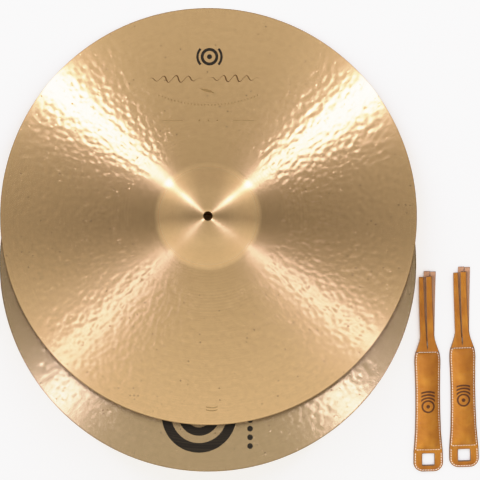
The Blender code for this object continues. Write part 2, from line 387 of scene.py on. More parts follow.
class Shade:
    """A material's node tree with short calls to add nodes and join them."""

    def __init__(self, name):
        self.material = bpy.data.materials.new(name)
        self.material.use_nodes = True
        self.tree = self.material.node_tree
        self.surface = self.tree.nodes["Principled BSDF"]

    @classmethod
    def over(cls, tree):
        """The same calls for a node tree that isn't a material's."""
        shade = cls.__new__(cls)
        shade.tree = tree
        return shade

    def node(self, kind, **values):
        node = self.tree.nodes.new("ShaderNode" + kind)
        for key, value in values.items():
            setattr(node, key, value)
        return node

    def feed(self, socket, value):
        """Joins an output to a socket, or sets the socket's own value."""
        if isinstance(value, bpy.types.NodeSocket):
            self.tree.links.new(value, socket)
        else:
            socket.default_value = value

    def math(self, operation, *values, clamp=False):
        node = self.node("Math", operation=operation, use_clamp=clamp)
        for socket, value in zip(node.inputs, values):
            self.feed(socket, value)
        return node.outputs[0]

    def times(self, first, second):
        return self.math("MULTIPLY", first, second)

    def plus(self, first, second):
        return self.math("ADD", first, second)

    def stored(self, name):
        """A vector that store() keeps for each point."""
        return self.node("Attribute", attribute_name=name).outputs["Vector"]

    def flat_place(self):
        """A point's place in its cymbal's or strap's own frame, before any bend."""
        return self.stored("flat_place")

    def vector_math(self, operation, *values):
        node = self.node("VectorMath", operation=operation)
        for socket, value in zip(node.inputs, values):
            self.feed(socket, value)
        return node.outputs["Value"] if operation in ("LENGTH", "DISTANCE") else node.outputs["Vector"]

    def dot(self, vector, direction):
        node = self.node("VectorMath", operation="DOT_PRODUCT")
        self.feed(node.inputs[0], vector)
        self.feed(node.inputs[1], direction)
        return node.outputs["Value"]

    def place(self):
        return self.node("TexCoord").outputs["Object"]

    def noise(self, vector, scale, detail=2.0, roughness=0.5, stretch=None):
        """Noise from 0 to 1. Stretch scales the vector first, one number an axis."""
        if stretch:
            vector = self.vector_math("MULTIPLY", vector, stretch)
        node = self.node("TexNoise")
        self.feed(node.inputs["Vector"], vector)
        node.inputs["Scale"].default_value = scale
        node.inputs["Detail"].default_value = detail
        node.inputs["Roughness"].default_value = roughness
        return node.outputs["Fac"]

    def line_noise(self, value, scale, detail=2.0):
        node = self.node("TexNoise", noise_dimensions="1D")
        self.feed(node.inputs["W"], value)
        node.inputs["Scale"].default_value = scale
        node.inputs["Detail"].default_value = detail
        return node.outputs["Fac"]

    def ramp(self, value, stops, interpolation="LINEAR"):
        """A colour from a value. Each stop is (position, colour)."""
        node = self.node("ValToRGB")
        node.color_ramp.interpolation = interpolation
        elements = node.color_ramp.elements
        while len(elements) < len(stops):
            elements.new(0.5)
        for element, (position, colour) in zip(elements, stops):
            element.position = position
            element.color = (*colour, 1)
        self.feed(node.inputs[0], value)
        return node.outputs["Color"]

    def span(self, value, low, high, to_low=0.0, to_high=1.0, smooth=False):
        node = self.node("MapRange", interpolation_type="SMOOTHSTEP" if smooth else "LINEAR")
        for socket, number in zip(node.inputs, (value, low, high, to_low, to_high)):
            self.feed(socket, number)
        return node.outputs[0]

    def mix(self, share, first, second, blend="MIX"):
        node = self.node("Mix", data_type="RGBA", blend_type=blend)
        self.feed(node.inputs[0], share)
        self.feed(node.inputs[6], first if isinstance(first, bpy.types.NodeSocket) else (*first, 1))
        self.feed(node.inputs[7], second if isinstance(second, bpy.types.NodeSocket) else (*second, 1))
        return node.outputs[2]

    def bump(self, height, depth, normal=None):
        """Depth is the real height in metres of a full step of the height value."""
        node = self.node("Bump")
        node.inputs["Strength"].default_value = 1.0
        node.inputs["Distance"].default_value = abs(depth)
        node.invert = depth < 0
        self.feed(node.inputs["Height"], height)
        if normal:
            self.feed(node.inputs["Normal"], normal)
        return node.outputs["Normal"]

    def set(self, **values):
        """Sets the surface shader's sockets. An underscore in a key stands for a space."""
        for key, value in values.items():
            self.feed(self.surface.inputs[key.replace("_", " ")], value)


def floor_material():
    shade = Shade("studio_floor")
    mottle = shade.noise(shade.place(), 3.0, 3.0)
    shade.set(
        Base_Color=shade.mix(mottle, (0.95, 0.93, 0.90), (0.94, 0.92, 0.88)),
        Roughness=0.9,
        Specular_IOR_Level=0.1,
        Emission_Color=(1.0, 0.99, 0.97, 1.0),
        Emission_Strength=FLOOR_GLOW,
    )
    return shade.material


def bronze_material(name, light, shade_colour):
    """Lathed bronze: fine turned grooves spread every reflection out along the radius."""
    shade = Shade(name)
    place = shade.flat_place()
    flat = shade.vector_math("MULTIPLY", place, (1, 1, 0))
    radius = shade.vector_math("LENGTH", flat)
    grooves = shade.line_noise(radius, 420, 3.0)
    lines = shade.line_noise(radius, 2200, 2.0)
    turning = shade.plus(shade.times(grooves, 0.7), shade.times(lines, 0.3))
    tool_marks = shade.math("SINE", shade.times(radius, 2 * math.pi / TOOL_PITCH))
    fading = shade.noise(place, 26.0, 2.0)
    near_bell = shade.times(
        shade.span(radius, BELL_RADIUS, BELL_RADIUS + 0.006, 0.0, 1.0, smooth=True),
        shade.span(radius, 0.115, 0.150, 1.0, 0.12, smooth=True),
    )
    tool_marks = shade.times(shade.times(tool_marks, fading), near_bell)
    cells = shade.node("TexVoronoi", feature="F1")
    shade.feed(cells.inputs["Vector"], flat)
    cells.inputs["Scale"].default_value = 1 / PIT_PITCH
    chosen = shade.node("SeparateColor")
    shade.feed(chosen.inputs[0], cells.outputs["Color"])
    pits = shade.span(cells.outputs["Distance"], 0.0, 0.34, 1.0, 0.0, smooth=True)
    pits = shade.times(pits, shade.span(chosen.outputs[0], 0.70, 0.75))
    pits = shade.times(pits, shade.span(radius, 0.078, 0.110, 0.0, 1.0, smooth=True))
    cloud = shade.noise(place, 9.0, 4.0, 0.6)
    colour = shade.mix(cloud, light, shade_colour)
    mottle = shade.noise(place, 150, 3.0, 0.6)
    colour = shade.mix(shade.span(mottle, 0.40, 0.68, 0.0, MOTTLE_TONE), colour, (0.42, 0.265, 0.120))
    lined = shade.line_noise(radius, 900, 2.0)
    colour = shade.mix(shade.span(lined, 0.35, 0.70, 0.0, 0.10), colour, (0.40, 0.250, 0.110))
    # Painted shade: the bell's outer part is darkened in colour, most from 50 mm out to its foot, fading out
    # just past the foot.
    bell = shade.span(radius, BELL_RADIUS - 0.001, BELL_RADIUS + 0.003, BELL_PAINTED_SHADE, 0.0, smooth=True)
    bell = shade.times(bell, shade.span(radius, 0.020, 0.050, smooth=True))
    colour = shade.mix(bell, colour, (0.40, 0.255, 0.125))
    flecks = shade.times(pits, shade.span(chosen.outputs[1], 0.72, 0.80, 0.0, FLECK_TONE))
    colour = shade.mix(flecks, colour, (0.20, 0.120, 0.055))
    # Painted reflection: a thin dark line round the rim's outer edge stands in for the dark studio that the
    # rounded edge mirrors.
    rim = shade.span(radius, RIM_RADIUS - 0.0013, RIM_RADIUS - 0.0006, 0.0, RIM_PAINTED_SHADE)
    colour = shade.mix(rim, colour, (0.16, 0.110, 0.050))
    normal = shade.bump(turning, 0.00004)
    normal = shade.bump(tool_marks, TOOL_DEPTH, normal)
    normal = shade.bump(pits, -PIT_DEPTH, normal)
    polish = (BELL_RADIUS * 0.65, BELL_RADIUS, BELL_ROUGHNESS, BOW_ROUGHNESS)
    shade.set(
        Base_Color=colour,
        Metallic=1.0,
        Roughness=shade.span(radius, *polish, smooth=True),
        Anisotropic=1.0,
        Anisotropic_Rotation=0.25,
        Normal=normal,
    )
    to_world = shade.node("VectorTransform", vector_type="VECTOR", convert_from="OBJECT", convert_to="WORLD")
    shade.feed(to_world.inputs[0], shade.stored("groove"))
    shade.feed(shade.surface.inputs["Tangent"], to_world.outputs[0])
    return shade.material


def ink_material(name, dark, worn, roughness):
    """Ink printed on the turned bronze: the lathe's lines show through it as finer, lighter rings."""
    shade = Shade(name)
    place = shade.flat_place()
    radius = shade.vector_math("LENGTH", shade.vector_math("MULTIPLY", place, (1, 1, 0)))
    lines = shade.line_noise(radius, 1500, 2.0)
    wear = shade.noise(place, 160, 4.0, 0.65)
    shown = shade.span(lines, 0.52, 0.75)
    share = shade.math("ADD", shown, shade.span(wear, 0.60, 0.85, 0.0, 0.5), clamp=True)
    shade.set(
        Base_Color=shade.mix(share, dark, worn),
        Roughness=roughness,
        Specular_IOR_Level=0.12,
        Normal=shade.bump(lines, 0.00003),
    )
    return shade.material


def leather_material(name):
    """Tanned leather's grain side, from yellow to red-brown, with fine pores and creases, and painted shade
    towards the upper seam.
    """
    shade = Shade(name)
    place = shade.flat_place()
    split = shade.node("SeparateXYZ")
    shade.feed(split.inputs[0], place)
    cloud = shade.noise(place, 38, 3.0, 0.55)
    streaks = shade.noise(place, 60, 3.0, 0.6, stretch=(1.0, 0.28, 1.0))
    tone = shade.plus(shade.times(cloud, 0.6), shade.times(streaks, 0.4))
    stops = [(0.30, (0.22, 0.066, 0.005)), (0.50, (0.33, 0.116, 0.009)), (0.70, (0.43, 0.178, 0.018))]
    colour = shade.ramp(tone, stops)
    # Painted shade: the grip darkens to a redder brown towards the upper seam, and this fades out again by
    # the neck.
    upper = shade.span(split.outputs["Y"], 0.120, UPPER_SEAM_AT, 0.0, 0.40, smooth=True)
    upper = shade.times(upper, shade.span(split.outputs["Y"], UPPER_SEAM_AT, NECK_AT, 1.0, 0.0))
    colour = shade.mix(upper, colour, (0.25, 0.074, 0.006))
    mark = pictogram_shade(shade)
    colour = shade.mix(shade.times(mark, 0.94), colour, (0.055, 0.018, 0.006))
    pores = shade.node("TexVoronoi", feature="DISTANCE_TO_EDGE")
    shade.feed(pores.inputs["Vector"], place)
    pores.inputs["Scale"].default_value = 1300
    pebble = shade.span(pores.outputs["Distance"], 0.0, 0.12, 0.0, 1.0)
    fine = shade.noise(place, 2600, 3.0, 0.6)
    creases = shade.noise(place, 240, 4.0, 0.6, stretch=(1.0, 1.8, 1.0))
    relief = shade.plus(shade.times(pebble, 0.5), shade.times(fine, 0.5))
    relief = shade.plus(relief, shade.times(creases, 1.2))
    shade.set(
        Base_Color=colour,
        Roughness=shade.span(cloud, 0.3, 0.7, 0.46, 0.34),
        Specular_IOR_Level=0.16,
        Normal=shade.bump(relief, 0.00018),
    )
    return shade.material


def pictogram_shade(shade):
    """The grip's pressed mark, 1 inside its strokes, as in pictogram()."""
    split = shade.node("SeparateXYZ")
    place = shade.stored("mark_place")
    shade.feed(split.inputs[0], place)
    x, y = split.outputs["X"], split.outputs["Y"]
    distance = shade.vector_math("LENGTH", shade.vector_math("MULTIPLY", place, (1, 1, 0)))

    def band(radius):
        gap = shade.math("ABSOLUTE", shade.math("SUBTRACT", distance, radius))
        return shade.span(gap, MARK_STROKE * 0.8, MARK_STROKE * 1.2, 1.0, 0.0, smooth=True)

    inner, middle, outer = (band(radius) for radius in MARK_ARCS)
    arcs = shade.math("MAXIMUM", inner, shade.math("MAXIMUM", middle, outer))
    narrow = shade.span(shade.math("ABSOLUTE", x), MARK_HALF_WIDTH - 0.0004, MARK_HALF_WIDTH, 1.0, 0.0)
    above = shade.span(y, 0.004, 0.005, 0.0, 1.0)
    arcs = shade.times(arcs, shade.times(narrow, above))
    dot = shade.span(distance, MARK_DOT * 0.9, MARK_DOT * 1.1, 1.0, 0.0, smooth=True)
    whole = shade.math("MAXIMUM", shade.math("MAXIMUM", band(MARK_RING), dot), arcs)
    near = shade.span(distance, 0.030, 0.031, 1.0, 0.0)
    return shade.times(whole, near)


def flesh_material():
    """The leather's rough flesh side, a dull pinkish tan with a short nap."""
    shade = Shade("leather_flesh")
    place = shade.flat_place()
    cloud = shade.noise(place, 70, 4.0, 0.65)
    nap = shade.noise(place, 1500, 4.0, 0.7, stretch=(1.0, 0.5, 1.0))
    colour = shade.ramp(cloud, [(0.3, (0.38, 0.190, 0.100)), (0.7, (0.50, 0.275, 0.165))])
    colour = shade.mix(shade.span(nap, 0.3, 0.7, 0.0, 0.35), colour, (0.24, 0.115, 0.060))
    shade.set(Base_Color=colour, Roughness=0.88, Specular_IOR_Level=0.2, Normal=shade.bump(nap, 0.00012))
    shade.set(Sheen_Weight=0.25, Sheen_Roughness=0.5)
    return shade.material


def edge_stain_and_painted_shade_material():
    """The cut edge, stained, rubbed smooth and darkened further with painted shade, with the leather's
    layers as fine lines.
    """
    shade = Shade("leather_edge_stain_and_painted_shade")
    place = shade.flat_place()
    fibres = shade.noise(place, 420, 4.0, 0.65, stretch=(1.0, 1.0, 7.0))
    # The edge's colour is a dark stain, made darker still as painted shade along every cut edge.
    colour = shade.ramp(fibres, [(0.3, (0.050, 0.022, 0.008)), (0.7, (0.13, 0.058, 0.018))])
    shade.set(Base_Color=colour, Roughness=0.55, Normal=shade.bump(fibres, 0.00010))
    return shade.material


def thread_material():
    """Waxed off-white thread with its twist."""
    shade = Shade("waxed_thread")
    place = shade.place()
    twist = shade.node("TexWave", wave_type="BANDS", bands_direction="DIAGONAL")
    shade.feed(twist.inputs["Vector"], place)
    twist.inputs["Scale"].default_value = 420
    twist.inputs["Distortion"].default_value = 0.6
    fuzz = shade.noise(place, 900, 3.0)
    colour = shade.mix(fuzz, (0.86, 0.80, 0.70), (0.72, 0.63, 0.50))
    colour = shade.mix(shade.times(twist.outputs["Fac"], 0.3), colour, (0.50, 0.40, 0.28))
    shade.set(Base_Color=colour, Roughness=0.6, Normal=shade.bump(twist.outputs["Fac"], 0.00006))
    shade.set(Sheen_Weight=0.3, Sheen_Roughness=0.4)
    return shade.material


def felt_material():
    shade = Shade("wool_felt")
    place = shade.place()
    wool = shade.noise(place, 900, 5.0, 0.7)
    shade.set(
        Base_Color=shade.mix(wool, (0.74, 0.71, 0.64), (0.58, 0.55, 0.48)),
        Roughness=0.95,
        Normal=shade.bump(wool, 0.00020),
    )
    return shade.material


# Cymbals


def hollow_rise(radius):
    """Height of the hollow side over the rim's plane, as in the CAD."""
    bow = BOW_HEIGHT * (1 - (radius / RIM_RADIUS) ** 2)
    inside = np.clip(radius / BELL_RADIUS, 0, 1)
    return bow + BELL_HEIGHT * (1 + np.cos(math.pi * inside**2)) / 2


def outer_rise(radius):
    share = (radius - HOLE_RADIUS) / (RIM_RADIUS - HOLE_RADIUS)
    return hollow_rise(radius) + WALL_AT_HOLE + (WALL_AT_RIM - WALL_AT_HOLE) * share


def smooth(value, start, end):
    value = np.clip((value - start) / (end - start), 0, 1)
    return value * value * (3 - 2 * value)


def hammer_marks(seed):
    """Rows of (x, y, radius, depth), on uneven rings from the bell's foot to near the rim."""
    random = np.random.default_rng(seed)
    marks = []
    ring = HAMMER_START
    while ring < HAMMER_END:
        count = round(2 * math.pi * ring / (HAMMER_PITCH * 1.05))
        turn = random.uniform(0, 2 * math.pi)
        angle = turn + 2 * math.pi * (np.arange(count) + random.normal(0, 0.22, count)) / count
        radius = ring + random.normal(0, HAMMER_PITCH * 0.2, count)
        share = smooth(radius, HAMMER_START, HAMMER_FULL) * (1 - smooth(radius, HAMMER_FADE, HAMMER_END))
        size = HAMMER_RADIUS * random.uniform(0.7, 1.25, count)
        depth = HAMMER_DEPTH * share * random.uniform(0.35, 1.3, count)
        marks += list(zip(radius * np.cos(angle), radius * np.sin(angle), size, depth))
        ring += HAMMER_PITCH * 0.88
    return np.array(marks)


def hammered(points, marks):
    """How deep the marks press the surface at each (x, y), in metres. Each is a round-bottomed dish."""
    depth = np.zeros(len(points))
    cell = HAMMER_RADIUS * 2.6
    keys = np.floor(points / cell).astype(int)
    order = {}
    for index, key in enumerate(map(tuple, keys)):
        order.setdefault(key, []).append(index)
    for x, y, size, deep in marks:
        column, row = int(math.floor(x / cell)), int(math.floor(y / cell))
        near = [i for a in (-1, 0, 1) for b in (-1, 0, 1) for i in order.get((column + a, row + b), ())]
        if not near:
            continue
        near = np.array(near)
        gap = ((points[near, 0] - x) ** 2 + (points[near, 1] - y) ** 2) / size**2
        depth[near] += deep * np.clip(1 - gap, 0, 1) ** 2
    return depth


def rings(bell_count, bow_count):
    bell = np.linspace(HOLE_RADIUS, BELL_RADIUS, bell_count, endpoint=False)
    bow = np.linspace(BELL_RADIUS, RIM_RADIUS, bow_count + 1)
    return np.concatenate([bell, bow])


def store(mesh, name, vectors):
    """Keeps a vector for each point, for the material to read."""
    attribute = mesh.attributes.new(name, "FLOAT_VECTOR", "POINT")
    attribute.data.foreach_set("vector", np.asarray(vectors, np.float32).ravel())


def new_mesh(name, points, faces, *materials):
    mesh = bpy.data.meshes.new(name)
    mesh.from_pydata(points.tolist(), [], faces)
    for material in materials:
        mesh.materials.append(material)
    return mesh


def placed(name, mesh, place):
    """An object whose mesh is moved to its place, so that its box follows the frame's own axes."""
    mesh.transform(place)
    return linked(name, mesh)


def turned(points, place):
    """The direction of the lathe's grooves at each point, in the frame's axes."""
    radius = np.maximum(np.hypot(points[:, 0], points[:, 1]), 1e-9)
    local = np.stack([-points[:, 1] / radius, points[:, 0] / radius, np.zeros(len(points))], 1)
    return local @ np.array(place.to_3x3()).T


def add_cymbal_shell(body, place, seed, bronze, hollow_side_shown):
    """A whole turned and hammered shell. The side that shows has the finer mesh and the hammer marks."""
    fine = rings(BELL_RINGS, BOW_RINGS)
    plain = rings(PLAIN_BELL_RINGS, PLAIN_BOW_RINGS)
    outer, hollow = (plain, fine) if hollow_side_shown else (fine, plain)
    edge = WALL_AT_RIM / 2
    outer = outer[outer < RIM_RADIUS - edge]
    hollow = hollow[hollow < RIM_RADIUS - edge]
    hole_edge = WALL_AT_HOLE / 4
    turn = np.linspace(math.pi / 2, -math.pi / 2, 7)
    rim = [(RIM_RADIUS - edge * 0.6 + edge * 0.6 * math.cos(a), edge + edge * math.sin(a)) for a in turn]
    section = [(r, outer_rise(r)) for r in outer]
    section[0] = (HOLE_RADIUS + hole_edge, outer_rise(HOLE_RADIUS))
    section += rim
    section += [(r, hollow_rise(r)) for r in hollow[::-1]]
    section[-1] = (HOLE_RADIUS + hole_edge, hollow_rise(HOLE_RADIUS))
    section.append((HOLE_RADIUS, hollow_rise(HOLE_RADIUS) + hole_edge))
    section.append((HOLE_RADIUS, outer_rise(HOLE_RADIUS) - hole_edge))
    section = np.array(section)
    angle = np.linspace(0, 2 * math.pi, TURNS, endpoint=False)
    x = np.outer(section[:, 0], np.cos(angle)).ravel()
    y = np.outer(section[:, 0], np.sin(angle)).ravel()
    z = np.repeat(section[:, 1], TURNS)
    z -= hammered(np.stack([x, y], 1), hammer_marks(seed))
    points = np.stack([x, y, z], 1)
    count = len(section)
    row = np.arange(count)[:, None] * TURNS
    next_row = (np.arange(count)[:, None] + 1) % count * TURNS
    column = np.arange(TURNS)[None, :]
    next_column = (column + 1) % TURNS
    faces = [row + column, next_row + column, next_row + next_column, row + next_column]
    name = f"{body}_shell"
    mesh = new_mesh(name, points, np.stack(faces, -1).reshape(-1, 4).tolist(), bronze)
    mesh.shade_smooth()
    store(mesh, "flat_place", points)
    store(mesh, "groove", turned(points, place))
    shell = placed(name, mesh, place)
    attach(shell, body)
    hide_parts(body)


# Printed marks: plain stand-ins of the same size and place as the maker's own


def arc(centre, radius, start, end, steps=None):
    """A path along a circle's arc, between two angles in degrees."""
    steps = steps or max(8, round(radius * math.radians(abs(end - start)) / 0.0012))
    angle = np.radians(np.linspace(start, end, steps + 1))
    return np.column_stack([centre[0] + radius * np.cos(angle), centre[1] + radius * np.sin(angle)])


def stroke(path, width):
    """A stroke of one width, as (path, half widths). A path that ends at its start makes a ring."""
    return path, np.full(len(path), width / 2)


def dot(centre, radius):
    """A filled disc, as a short stroke whose width follows the circle."""
    share = np.cos(np.linspace(math.pi, 0, 17)) * 0.999
    path = np.column_stack([centre[0] + radius * share, np.full(17, centre[1])])
    return path, radius * np.sqrt(1 - share**2)


def ring(centre, radius, width):
    return stroke(arc(centre, radius, 0, 360), width)


def leaf(start, end, width):
    """A stroke that swells in its middle and tapers to points."""
    share = np.linspace(0, 1, 25)
    path = np.outer(1 - share, start) + np.outer(share, end)
    return path, width / 2 * np.sin(math.pi * np.clip(share, 0.02, 0.98))


def wave(left, right, height, swing, period, thick):
    """A plain ornamental ripple that grows and fades, thicker on its falling side."""
    share = np.linspace(0, 1, round((right - left) / 0.0006))
    x = left + (right - left) * share
    swell = np.sin(math.pi * share) ** 0.7
    phase = 2 * math.pi * (x - left) / period
    y = height + swing * swell * np.sin(phase)
    path = np.column_stack([x + 0.25 * swing * swell * np.sin(phase), y])
    return path, thick * (0.30 + 0.70 * (0.5 - 0.5 * np.cos(phase))) * np.maximum(swell, 0.2) / 2


def front_print():
    """The front cymbal's marks as {ink: strokes}, in the cymbal's own frame."""
    emblem = [ring(EMBLEM_AT, *EMBLEM_RING), dot(EMBLEM_AT, EMBLEM_DOT)]
    radius, spread, width = EMBLEM_ARCS
    for turn in (0, 180):
        emblem.append(stroke(arc(EMBLEM_AT, radius, turn - spread, turn + spread), width))
    ripples = []
    for left, right, y, period in RIPPLES:
        ripples.append(wave(left, right, y, RIPPLE_SWING, period, RIPPLE_WIDTH))
    faint = [
        leaf((-0.0120, 0.1705), (0.0040, 0.1650), 0.0030),
        leaf((-0.0050, 0.1700), (0.0100, 0.1630), 0.0024),
    ]
    for angle in np.linspace(-66, 66, 31):
        turn = math.radians(angle * 0.34)
        middle = np.array([DASH_ARC * math.sin(turn), 0.320 - DASH_ARC * math.cos(turn)])
        faint.append(leaf(middle - (0, DASH_HEIGHT / 2), middle + (0, DASH_HEIGHT / 2), 0.0014))
    for left, right in ((-0.061, -0.034), (0.033, 0.061)):
        faint.append(stroke(np.column_stack([np.linspace(left, right, 20), np.full(20, LINE_AT)]), 0.0006))
    for middle in (-0.012, 0.0, 0.012):
        faint.append(dot((middle, LINE_AT), 0.0011))
    for lower in (-0.2560, -0.2600):
        faint.append(stroke(arc((0.0045, lower + 0.020), 0.020, 248, 292), 0.0011))
    return {"black": emblem, "brown": ripples, "faint": faint}


def rear_print():
    """The rear cymbal's marks: wide rings, of which the lower part shows, and a row of dots beside them."""
    strokes = [ring(TARGET_AT, *sizes) for sizes in TARGET_RINGS] + [dot(TARGET_AT, TARGET_DOT)]
    strokes += [dot((0.0565, 0.2455 - 0.0115 * i), 0.0038) for i in range(6)]
    return {"black": strokes}


def strip_points(path, half, closed):
    """Rows of (x, y) across a stroke, from its right side to its left, and how many there are in a row."""
    if closed:
        path, half = path[:-1], half[:-1]
        ahead = np.roll(path, -1, axis=0) - np.roll(path, 1, axis=0)
    else:
        ahead = np.gradient(path, axis=0)
    ahead /= np.linalg.norm(ahead, axis=1, keepdims=True)
    aside = np.column_stack([-ahead[:, 1], ahead[:, 0]]) * half[:, None]
    share = np.linspace(-1, 1, max(2, round(2 * half.max() / PRINT_SPACING) + 1))
    return (path[:, None, :] + aside[:, None, :] * share[None, :, None]).reshape(-1, 2), len(share)


def strip_faces(base, length, width, closed):
    """Faces of a thin strip, length by width points, whose lower layer of points follows its upper one."""
    low = base + length * width
    ahead = [(i, (i + 1) % length) for i in range(length if closed else length - 1)]
    faces = []
    for i, k in ahead:
        for j in range(width - 1):
            quad = (i * width + j, k * width + j, k * width + j + 1, i * width + j + 1)
            faces.append(tuple(base + q for q in quad))
            faces.append(tuple(low + q for q in quad[::-1]))
    walls = [(i * width + width - 1, k * width + width - 1) for i, k in ahead]
    walls += [(k * width, i * width) for i, k in ahead]
    if not closed:
        walls += [(j, j + 1) for j in range(width - 1)]
        walls += [((length - 1) * width + j + 1, (length - 1) * width + j) for j in range(width - 1)]
    faces += [(base + a, base + b, low + b, low + a) for a, b in walls]
    return faces


def add_print(body, place, seed, inks, strokes_by_ink, hollow=False):
    """Lays each stroke over the shell as a thin closed strip, with its walls sunk into the metal."""
    marks = hammer_marks(seed)
    rise_at = hollow_rise if hollow else outer_rise
    out = -1 if hollow else 1
    for ink, strokes in strokes_by_ink.items():
        points, faces, base = [], [], 0
        for path, half in strokes:
            closed = bool(np.allclose(path[0], path[-1]))
            across, width = strip_points(path, half, closed)
            rise = rise_at(np.hypot(across[:, 0], across[:, 1])) - hammered(across, marks)
            for lift in (out * INK, -out * INK * 2):
                points.append(np.column_stack([across, rise + lift]))
            faces += strip_faces(base, len(across) // width, width, closed)
            base += 2 * len(across)
        if hollow:
            faces = [face[::-1] for face in faces]
        name = f"{body}_print_{ink}"
        points = np.concatenate(points)
        mesh = new_mesh(name, points, faces, inks[ink])
        store(mesh, "flat_place", points)
        piece = placed(name, mesh, place)
        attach(piece, body)


# Straps: flat leather sheets


def strap_place(side):
    """A strap's own frame: the origin on the floor at the tab's round end, +Y along the strap, +Z up."""
    fold = Vector(joints[f"{side}_strap_tab_fold"]["pos_m"])
    neck = Vector(joints[f"{side}_strap_tail_front_left_bend"]["pos_m"])
    along = Vector((neck.x - fold.x, neck.y - fold.y, 0)).normalized()
    across = along.cross(UP)
    origin = Vector((fold.x, fold.y, 0)) - along * TAB_FOLD_AT
    return axes_at(origin, across, along, UP)


def spaced_loop(points, spacing):
    """The same closed outline with a point about every spacing, and its corners kept."""
    result = []
    for (x0, y0), (x1, y1) in zip(points, points[1:] + points[:1]):
        steps = max(1, round(math.hypot(x1 - x0, y1 - y0) / spacing))
        result += [(x0 + (x1 - x0) * i / steps, y0 + (y1 - y0) * i / steps) for i in range(steps)]
    return np.array(result)


def inward(loop):
    """Unit normals of a closed outline, towards its left, where the leather is."""
    ahead = np.roll(loop, -1, 0) - loop
    ahead /= np.maximum(np.linalg.norm(ahead, axis=1, keepdims=True), 1e-9)
    along = ahead + np.roll(ahead, 1, 0)
    along /= np.maximum(np.linalg.norm(along, axis=1, keepdims=True), 1e-9)
    return np.stack([-along[:, 1], along[:, 0]], 1)


def in_loop(points, loop):
    """True for the points inside a closed outline."""
    x, y = points[:, :1], points[:, 1:]
    x0, y0 = loop[:, 0], loop[:, 1]
    x1, y1 = np.roll(x0, -1), np.roll(y0, -1)
    rise = np.where(y1 == y0, 1e-12, y1 - y0)
    crosses = ((y0 > y) != (y1 > y)) & (x < (x1 - x0) * (y - y0) / rise + x0)
    return crosses.sum(1) % 2 == 1


def nearest_gap(points, others):
    return np.sqrt(((points[:, None, :] - others[None, :, :]) ** 2).sum(-1)).min(1)


def filled(loops, rows, spacing):
    """Points and triangles that fill the first loop around the others, with extra rows of points."""
    border = np.concatenate(loops)
    low, high = border.min(0), border.max(0)
    columns = np.arange(low[0], high[0], spacing)
    lines = np.arange(low[1], high[1], spacing * 0.87)
    grid = [(x + (spacing / 2 if i % 2 else 0), y) for i, y in enumerate(lines) for x in columns]
    grid = np.array(grid)
    keep = in_loop(grid, loops[0])
    for hole in loops[1:]:
        keep &= ~in_loop(grid, hole)
    grid = grid[keep]
    if len(rows):
        rows = rows[in_loop(rows, loops[0])]
        rows = rows[nearest_gap(rows, border) > spacing * 0.35]
        grid = grid[nearest_gap(grid, rows) > spacing * 0.6]
    grid = grid[nearest_gap(grid, border) > spacing * 0.6]
    points = np.concatenate([border] + ([rows] if len(rows) else []) + [grid])
    edges = []
    start = 0
    for loop in loops:
        edges += [(start + i, start + (i + 1) % len(loop)) for i in range(len(loop))]
        start += len(loop)
    result = delaunay_2d_cdt([Vector(p) for p in points], edges, [], 1, 1e-7)
    corner = {index: olds[0] for index, olds in enumerate(result[3]) if olds}
    faces = np.array([[corner[i] for i in face] for face in result[2]])
    middle = points[faces].mean(1)
    for hole in loops[1:]:
        faces = faces[~in_loop(middle, hole)]
        middle = points[faces].mean(1)
    first, second, third = (points[faces[:, i]] for i in range(3))
    down = np.cross(second - first, third - first) < 0
    faces[down] = faces[down][:, ::-1]
    return points, faces


def edge_rings(border, normals, radius):
    """The rings of a quarter-round edge, as (places, drop), from the full outline inwards."""
    rings = []
    for turn in map(math.radians, (0, 35, 62, 90)):
        inset = radius * (1 - math.cos(turn))
        rings.append((border + normals * inset[:, None], radius * (1 - math.sin(turn))))
    return rings


